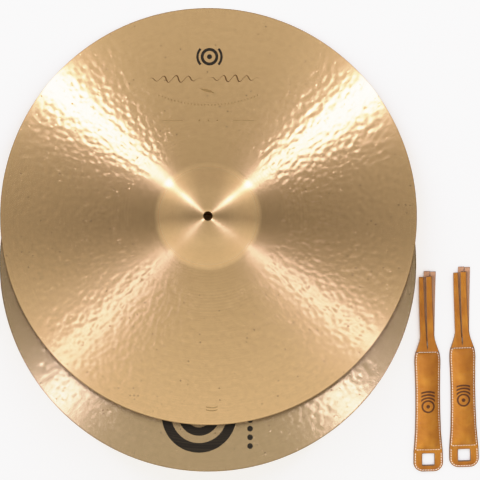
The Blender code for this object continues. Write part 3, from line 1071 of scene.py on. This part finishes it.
def leather_sheet(
    name, place, outlines, top, bottom, skins, spacing=0.0011, rows=(), edge=0.0007, mark_at=9.0, warp=None
):
    """A cut piece of leather with rounded edges, as one closed mesh in its strap's frame.

    Outlines are the piece's own, anticlockwise, then its holes, clockwise. Top and bottom give heights from
    (x, y). Skins are the materials on top, below and on the cut edge. Edge is the top edge's radius, or
    gives it from (x, y).
    """
    loops = [spaced_loop(list(map(tuple, outline)), spacing) for outline in outlines]
    sizes = [len(loop) for loop in loops]
    border = np.concatenate(loops)
    normals = np.concatenate([inward(loop) for loop in loops])
    radius = edge(border) if callable(edge) else np.full(len(border), edge)
    top_rings = edge_rings(border, normals, radius)
    under_rings = edge_rings(border, normals, np.full(len(border), UNDER_EDGE))
    inner = np.split(top_rings[-1][0], np.cumsum(sizes)[:-1])
    flat, faces = filled(inner, np.array(rows) if len(rows) else np.zeros((0, 2)), spacing)
    under_flat = flat.copy()
    under_flat[: len(border)] = under_rings[-1][0]
    places = [flat, *(ring for ring, _ in top_rings[-2::-1] + under_rings[:-1]), under_flat]
    heights = [top(flat)]
    heights += [top(ring) - drop for ring, drop in top_rings[-2::-1]]
    heights += [bottom(ring) + drop for ring, drop in under_rings[:-1]]
    heights += [bottom(under_flat)]
    start = np.cumsum([0] + [len(p) for p in places])
    quads = []
    ring_starts = list(start[:-1])
    begin = 0
    for size in sizes:
        index = np.arange(size)
        after = (index + 1) % size
        for upper, lower in zip(ring_starts, ring_starts[1:]):
            a, b = upper + begin, lower + begin
            quads.append(np.stack([a + index, b + index, b + after, a + after], 1))
        begin += size
    quads = np.concatenate(quads)
    points = np.column_stack([np.concatenate(places), np.concatenate(heights)])
    below = faces[:, ::-1] + start[-2]
    shown = warp(points) if warp else points
    mesh = new_mesh(name, shown, faces.tolist() + below.tolist() + quads.tolist(), *skins)
    mesh.shade_smooth()
    slots = np.concatenate([np.zeros(len(faces), int), np.ones(len(below), int), np.full(len(quads), 2)])
    mesh.polygons.foreach_set("material_index", slots)
    store(mesh, "flat_place", points)
    store(mesh, "mark_place", points - (0, mark_at, 0))
    return placed(name, mesh, place)


# Straps: shape


def half_width(along):
    """Half the grip's width at a place along the strap, with the stations' corners rounded off."""
    near = np.asarray(along)[..., None] + np.linspace(-0.004, 0.004, 9)
    stations, halves = zip(*GRIP_HALF_WIDTHS)
    return np.interp(near, stations, halves).mean(-1)


def corner_arc(centre, radius, start, steps=8):
    turns = [start + math.pi / 2 / steps * i for i in range(steps + 1)]
    return [(centre[0] + radius * math.cos(turn), centre[1] + radius * math.sin(turn)) for turn in turns]


def grip_outline(margin, end):
    """From the upper seam down the left side, round the tab and up the right side. Margin widens it."""
    stations = np.linspace(end, TAB_FOLD_AT - 0.004, 90)
    side = [(half_width(a) + margin, a) for a in stations]
    corner = TAB_CORNER + margin
    left = corner_arc((-TAB_HALF_WIDTH + TAB_CORNER, TAB_CORNER), corner, math.pi)
    right = corner_arc((TAB_HALF_WIDTH - TAB_CORNER, TAB_CORNER), corner, math.pi * 1.5)
    return [(-x, y) for x, y in side] + left + right + side[::-1]


def square_hole():
    """The tab's square hole with small round corners, clockwise."""
    half = SQUARE_HOLE / 2 - HOLE_CORNER
    ring = []
    for x, y, start in ((half, half, 0), (-half, half, 90), (-half, -half, 180), (half, -half, 270)):
        ring += corner_arc((x, SQUARE_HOLE_CENTRE + y), HOLE_CORNER, math.radians(start), steps=4)
    return ring[::-1]


def padding_heights(quick):
    """How high the padding lifts the front leather: a slack sheet, sewn down all round and pressed up.

    The felt is firm, so the sheet's own wrinkles show at part of their height over an even crown. Returns
    (columns, rows, heights), with the columns as shares of the half width between the side seams.
    """
    shares = np.linspace(-1, 1, PAD_COLUMNS)
    rows = np.linspace(LOWER_SEAM_AT, UPPER_SEAM_AT, PAD_ROWS)
    inner = half_width(rows) - SEAM_INSET
    across = shares[None, :] * inner[:, None]
    from_ends = np.minimum(rows - LOWER_SEAM_AT, UPPER_SEAM_AT - rows)[:, None]
    gap = np.minimum(inner[:, None] - np.abs(across), from_ends)
    from_ends = np.clip(from_ends / PAD_END, 0, 1)
    plain = PAD_CROWN * (1 - shares[None, :] ** 2) ** 0.8 * (1 - (1 - from_ends) ** 2) ** 0.7
    if quick:
        return shares, rows, plain
    points = np.column_stack([across.ravel(), np.repeat(rows, PAD_COLUMNS), plain.ravel() * 0.3])
    corners = [r * PAD_COLUMNS + c for r in range(PAD_ROWS - 1) for c in range(PAD_COLUMNS - 1)]
    faces = [(c, c + 1, c + 1 + PAD_COLUMNS, c + PAD_COLUMNS) for c in corners]
    sheet = linked("padding_sheet", new_mesh("padding_sheet", points * PAD_SCALE, faces))
    sewn = sheet.vertex_groups.new(name="sewn")
    sewn.add([int(i) for i in np.flatnonzero(gap.ravel() < 1e-6)], 1.0, "REPLACE")
    cloth = sheet.modifiers.new("cloth", "CLOTH")
    for setting, value in PAD_CLOTH.items():
        setattr(cloth.settings, setting, value)
    cloth.settings.effector_weights.gravity = 0
    cloth.collision_settings.use_collision = False
    scene = bpy.context.scene
    for number in range(1, PAD_FRAMES + 1):
        scene.frame_set(number)
    solved = sheet.evaluated_get(bpy.context.evaluated_depsgraph_get())
    heights = np.array([v.co.z for v in solved.data.vertices]).reshape(PAD_ROWS, PAD_COLUMNS) / PAD_SCALE
    bpy.data.objects.remove(sheet, do_unlink=True)
    scene.frame_set(1)
    return shares, rows, plain * (1 - PAD_GIVE) + np.clip(heights, 0, PAD_CROWN * 1.1) * PAD_GIVE


def lifted(points, padding):
    """The padding's height at each (x, y)."""
    shares, rows, heights = padding
    inner = half_width(points[:, 1]) - SEAM_INSET
    column = np.clip((points[:, 0] / inner + 1) / 2, 0, 1) * (len(shares) - 1)
    row = np.clip((points[:, 1] - rows[0]) / (rows[-1] - rows[0]), 0, 1) * (len(rows) - 1)
    c, r = np.minimum(column.astype(int), len(shares) - 2), np.minimum(row.astype(int), len(rows) - 2)
    u, v = column - c, row - r
    low = heights[r, c] * (1 - u) + heights[r, c + 1] * u
    high = heights[r + 1, c] * (1 - u) + heights[r + 1, c + 1] * u
    return low * (1 - v) + high * v


def seam_routes():
    """The strap's lines of stitches as {name: points}, each from its first hole to its last."""
    stations = np.linspace(LOWER_SEAM_AT, UPPER_SEAM_AT, 120)
    reach = half_width(stations) - SEAM_INSET
    tab = [(x, y) for x, y in grip_outline(-SEAM_INSET, UPPER_SEAM_AT) if y < LOWER_SEAM_AT - 0.0035]
    routes = {
        "side_seam_right": np.column_stack([reach, stations]),
        "side_seam_left": np.column_stack([-reach, stations]),
        "tab_seam": np.array(tab),
    }
    for label, along in (("lower", LOWER_SEAM_AT), ("upper", UPPER_SEAM_AT)):
        side = float(half_width(along)) - SEAM_INSET - 0.0012
        routes[f"cross_seam_{label}"] = np.array([(-side, along), (side, along)])
    return routes


def walked(route, pitch):
    """Places at an even pitch along a route, and the direction there."""
    steps = np.linalg.norm(np.diff(route, axis=0), axis=1)
    run = np.concatenate([[0], np.cumsum(steps)])
    count = max(1, round(run[-1] / pitch))
    middle = (np.arange(count) + 0.5) * run[-1] / count
    places = np.column_stack([np.interp(middle, run, route[:, i]) for i in (0, 1)])
    ahead = np.column_stack([np.interp(middle + 0.0004, run, route[:, i]) for i in (0, 1)])
    behind = np.column_stack([np.interp(middle - 0.0004, run, route[:, i]) for i in (0, 1)])
    heading = ahead - behind
    return places, heading / np.linalg.norm(heading, axis=1, keepdims=True), run[-1] / count


def seam_groove(points, routes):
    """How deep the stitches pull the leather down, in metres."""
    depth = np.zeros(len(points))
    for route in routes.values():
        fine, _, _ = walked(route, 0.0005)
        gap = nearest_gap(points, fine)
        depth = np.maximum(depth, SEAM_GROOVE * np.exp(-((gap / 0.0009) ** 2)))
    return depth


def pictogram(points, mark_at):
    """A plain mark, 1 inside its strokes: a ring, a dot and three sound arcs above them."""
    x, y = points[:, 0], points[:, 1] - mark_at
    distance = np.hypot(x, y)

    def band(radius):
        return 1 - smooth(np.abs(distance - radius), MARK_STROKE * 0.7, MARK_STROKE * 1.3)

    arcs = np.max([band(radius) for radius in MARK_ARCS], axis=0)
    arcs = arcs * (np.abs(x) < MARK_HALF_WIDTH) * (y > 0.0045)
    dot = 1 - smooth(distance, MARK_DOT * 0.8, MARK_DOT * 1.2)
    return np.maximum(np.maximum(band(MARK_RING), dot), arcs)


def fine_patch(mark_at, spacing=0.0006):
    """Extra points where the mark is pressed in, so that its strokes have crisp walls."""
    across = np.arange(-MARK_HALF_WIDTH - 0.001, MARK_HALF_WIDTH + 0.0011, spacing)
    along = np.arange(-MARK_RING - 0.002, MARK_ARCS[-1] + 0.0021, spacing) + mark_at
    x, y = np.meshgrid(across, along)
    return np.column_stack([x.ravel(), y.ravel()])


def add_stitches(name, route, top, place, tilt=0.10):
    """One run of saddle stitches. Each is a short round thread that dips into the leather at both ends."""
    places, headings, pitch = walked(route, STITCH_PITCH)
    length = pitch * STITCH_SHARE / 2
    share = np.array(STITCH_ALONG)
    girth = STITCH_RADIUS * np.array(STITCH_GIRTH)
    sink = STITCH_RADIUS * np.array(STITCH_SINK)
    sides = STITCH_SIDES
    angle = np.arange(sides) * 2 * math.pi / sides
    points, faces, base = [], [], 0
    for (x, y), (dx, dy) in zip(places, headings):
        ux, uy = dx * math.cos(tilt) - dy * math.sin(tilt), dx * math.sin(tilt) + dy * math.cos(tilt)
        spine = np.column_stack([x + ux * length * share, y + uy * length * share])
        height = top(spine) + STITCH_RADIUS * 0.35 - sink
        for (px, py), pz, r in zip(spine, height, girth):
            flat = r * np.cos(angle)
            points.append(np.column_stack([px - uy * flat, py + ux * flat, pz + r * np.sin(angle)]))
        for i in range(len(share) - 1):
            for j in range(sides):
                a, b = base + i * sides + j, base + i * sides + (j + 1) % sides
                faces.append((a, b, b + sides, a + sides))
        faces.append(tuple(base + j for j in reversed(range(sides))))
        faces.append(tuple(base + (len(share) - 1) * sides + j for j in range(sides)))
        base += len(share) * sides
    mesh = new_mesh(name, np.concatenate(points), faces, thread)
    mesh.shade_smooth()
    stitches = placed(name, mesh, place)
    return stitches


def level(height):
    """A flat side's heights."""
    return lambda points: np.full(len(points), height)


def add_grip(side, place, mark_at):
    """The two leathers of the tab and grip, the padding between them, and their stitches."""
    strap = f"{side}_strap"
    routes = seam_routes()
    padding = padding_heights(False)

    def top(points):
        height = STACK + lifted(points, padding) - seam_groove(points, routes)
        return height - MARK_DEPTH * pictogram(points, mark_at)

    def underside(points):
        return FRONT_LAYER + lifted(points, padding)

    rows = np.concatenate([walked(route, 0.0011)[0] for route in routes.values()] + [fine_patch(mark_at)])
    front = leather_sheet(
        f"{strap}_front_leather",
        place,
        [grip_outline(0.0, UPPER_SEAM_AT), square_hole()],
        top,
        underside,
        (grain, flesh, cut_edge),
        rows=rows,
        mark_at=mark_at,
    )
    back = leather_sheet(
        f"{strap}_back_leather",
        place,
        [grip_outline(BACK_MARGIN, UPPER_SEAM_AT), square_hole()],
        level(LEATHER),
        level(0.0),
        (flesh, grain, cut_edge),
        spacing=0.0018,
        edge=0.0004,
    )
    for piece, nodes in ((front, ("grip_cover", "tab_front")), (back, ("grip_back", "tab_back"))):
        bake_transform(piece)
        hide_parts(*(f"{strap}_{node}" for node in nodes))
    for label, route in routes.items():
        stitches = add_stitches(f"{strap}_stitches_{label}", route, top, place)
        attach(stitches, f"{strap}_tab" if label == "tab_seam" else strap)
        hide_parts(f"{strap}_{label}")
    add_padding(strap, padding, place)


def add_padding(strap, padding, place):
    """The felt between the leathers, a closed pad that fills the lifted room."""
    shares, rows, _ = padding
    rows = rows[2:-2]
    points = []
    for share_scale, lift in ((0.86, 1.0), (0.86, 0.0)):
        for y in rows:
            inner = float(half_width(y)) - SEAM_INSET
            across = shares * inner * share_scale
            line = np.column_stack([across, np.full(len(shares), y)])
            height = FRONT_LAYER + np.maximum(lifted(line, padding) - 0.0003, 0.0001) * lift
            points.append(np.column_stack([line, height]))
    wide, long = len(shares), len(rows)
    sheet = [r * wide + c for r in range(long - 1) for c in range(wide - 1)]
    low = wide * long
    faces = [(c, c + 1, c + 1 + wide, c + wide) for c in sheet]
    faces += [(low + c, low + c + wide, low + c + 1 + wide, low + c + 1) for c in sheet]
    ring = list(range(wide)) + [wide * r + wide - 1 for r in range(1, long)]
    ring += [wide * (long - 1) + c for c in range(wide - 2, -1, -1)]
    ring += [wide * r for r in range(long - 2, 0, -1)]
    faces += [(a, low + a, low + b, b) for a, b in zip(ring, ring[1:] + ring[:1])]
    mesh = new_mesh(f"{strap}_padding", np.concatenate(points), faces, felt)
    mesh.shade_smooth()
    pad = placed(f"{strap}_padding", mesh, place)
    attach(pad, strap)
    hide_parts(f"{strap}_pad")


def tail_outline(shape, inner_sign):
    """Half of the flare from the upper seam to the neck, then one tail to its tip, anticlockwise.

    The inner edge runs up the strap's middle to where the slit opens, and on to the tail's own inner edge.
    """
    _, root_x, tip_x, root_width, tip_width, length = shape
    outer_root = root_x - inner_sign * root_width / 2
    outer_tip = tip_x - inner_sign * tip_width / 2
    inner_tip = tip_x + inner_sign * tip_width / 2
    inner_root = root_x + inner_sign * root_width / 2
    stations = np.linspace(UPPER_SEAM_AT, NECK_AT - 0.002, 12)
    outline = [(-inner_sign * float(half_width(along)), along) for along in stations]
    for start, root, tip in ((0.04, outer_root, outer_tip), (0.0, inner_root, inner_tip)):
        shares = np.linspace(start, 1, 24) if start else np.linspace(1, start, 24)
        outline += [(root + (tip - root) * share, NECK_AT + length * share) for share in shares]
    outline += [(-inner_sign * SLIT_GAP / 2, SLIT_AT + 0.003), (0, SLIT_AT), (0, UPPER_SEAM_AT)]
    return outline if inner_sign < 0 else outline[::-1]


def add_tail(side, name, shape, place):
    """One tail with its half of the flare, as one piece of leather."""
    strap = f"{side}_strap"
    layer, length = shape[0], shape[-1]
    inner_sign = 1 if name.endswith("left") else -1
    front = layer == "front"
    base = FRONT_LAYER if front else 0.0
    random = np.random.default_rng(sum(map(ord, side + name)))
    bow = random.uniform(-1, 1) * 0.0006
    wave = random.uniform(0, 2 * math.pi)

    def edge(points):
        """Nearly square where the two halves of the flare meet, below the slit."""
        joined = (np.abs(points[:, 0]) < 0.0006) & (points[:, 1] < SLIT_AT)
        return np.where(joined, 0.0001, 0.0006 if front else 0.0004)

    def warp(points):
        """A slight bow, and a tip that has lifted from the floor."""
        share = np.clip((points[:, 1] - NECK_AT) / length, 0, 1)
        result = points.copy()
        result[:, 0] += bow * np.sin(math.pi * share) * (1 if front else 0.5)
        lift = TIP_LIFT * share**3 + 0.0003 * share * np.sin(share * 9 + wave)
        result[:, 2] += np.maximum(lift, 0) if front else np.maximum(lift, 0) * 0.35
        return result

    tail = leather_sheet(
        f"{strap}_{name}_leather",
        place,
        [tail_outline(shape, inner_sign)],
        level(base + LEATHER),
        level(base),
        (grain, flesh, cut_edge) if front else (flesh, grain, cut_edge),
        spacing=0.0013,
        edge=edge,
        warp=warp,
    )
    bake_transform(tail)
    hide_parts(f"{strap}_{name}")


# The whole scene

add_camera()
for strip_light in STRIP_LIGHTS:
    add_strip_light(*strip_light)
add_world()
add_floor()
set_view()
outer_bronze = bronze_material("lathed_bronze", (0.74, 0.480, 0.235), (0.70, 0.450, 0.218))
hollow_bronze = bronze_material("hollow_bronze", (0.68, 0.487, 0.266), (0.62, 0.440, 0.243))
add_cymbal_shell("front_cymbal", FRONT_PLACE, FRONT_SEED, outer_bronze, hollow_side_shown=False)
add_cymbal_shell("rear_cymbal", REAR_PLACE, REAR_SEED, hollow_bronze, hollow_side_shown=True)
inks = {
    "black": ink_material("black_ink", (0.014, 0.010, 0.005), (0.058, 0.045, 0.024), 0.50),
    "brown": ink_material("brown_ink", (0.090, 0.042, 0.010), (0.200, 0.110, 0.034), 0.50),
    "faint": ink_material("faint_ink", (0.250, 0.150, 0.050), (0.340, 0.220, 0.085), 0.50),
}
add_print("front_cymbal", FRONT_PLACE, FRONT_SEED, inks, front_print())
add_print("rear_cymbal", REAR_PLACE, REAR_SEED, inks, rear_print(), hollow=True)
grain = leather_material("tan_grain")
flesh = flesh_material()
cut_edge = edge_stain_and_painted_shade_material()
thread = thread_material()
felt = felt_material()
for strap_side, mark_at in MARKS_AT.items():
    add_grip(strap_side, strap_place(strap_side), mark_at)
    for tail_name, tail_shape in TAILS.items():
        add_tail(strap_side, tail_name, tail_shape, strap_place(strap_side))
add_side_light([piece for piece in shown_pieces() if "_strap_" in piece.name])
